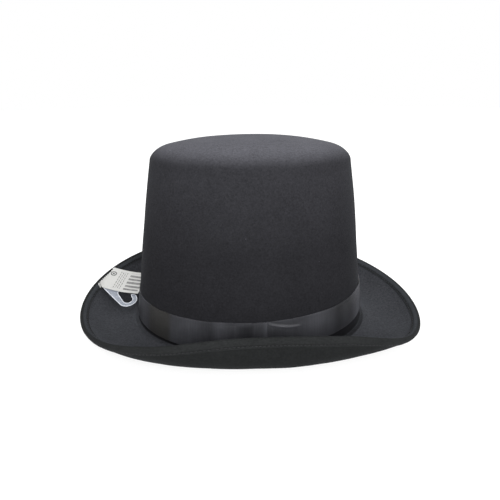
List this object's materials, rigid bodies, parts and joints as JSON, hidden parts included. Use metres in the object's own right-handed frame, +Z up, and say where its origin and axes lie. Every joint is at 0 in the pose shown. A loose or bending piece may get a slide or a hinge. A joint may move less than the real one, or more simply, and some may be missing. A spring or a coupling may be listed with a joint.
{
  "type": "top hat",
  "caption": "Top hat with a tall rounded crown, a curled wired brim, a ribbon band, a sweatband and lining, and a hinged hanging tag at the edge of the brim.",
  "frame": {"origin": "on the resting plane, below the middle of the hat's box", "axes": "+Z up, +X along the length of the head oval, +Y across it; the tag is at the -X end"},
  "size_m": [0.3094, 0.2358, 0.1663],
  "materials": {
    "felt": "matte black felt, charcoal where lit",
    "binding": "matte black felt, stitched",
    "buckram": "stiffened open weave",
    "lining": "satin",
    "sweatband": "ribbed grosgrain",
    "ribbon": "satin ribbon, fine cross rib",
    "wire": "drawn",
    "clear_plastic": "clear film",
    "paper": "matte label paper"
  },
  "bodies": {
    "hat": {"crown_cover": "felt", "crown_stiffener": "buckram", "lining_side": "lining", "lining_tip": "lining", "sweatband": "sweatband", "hat_band": "ribbon", "brim_upper_cover": "felt", "brim_stiffener": "buckram", "brim_under_cover": "felt", "brim_edge_binding": "binding", "brim_wire": "wire", "brim_wire_joiner": "wire", "tag_pad": "clear_plastic"},
    "tag": {"hang_hook": "clear_plastic", "tag_label": "paper"}
  },
  "joints": [
    {"name": "tag_lift", "type": "hinge", "parent": "hat", "child": "tag", "pos_m": [-0.14386, 0.02676, 0.0274], "axis": [-0.1829, -0.9249, -0.3333], "range_deg": [0, 90]}
  ]
}
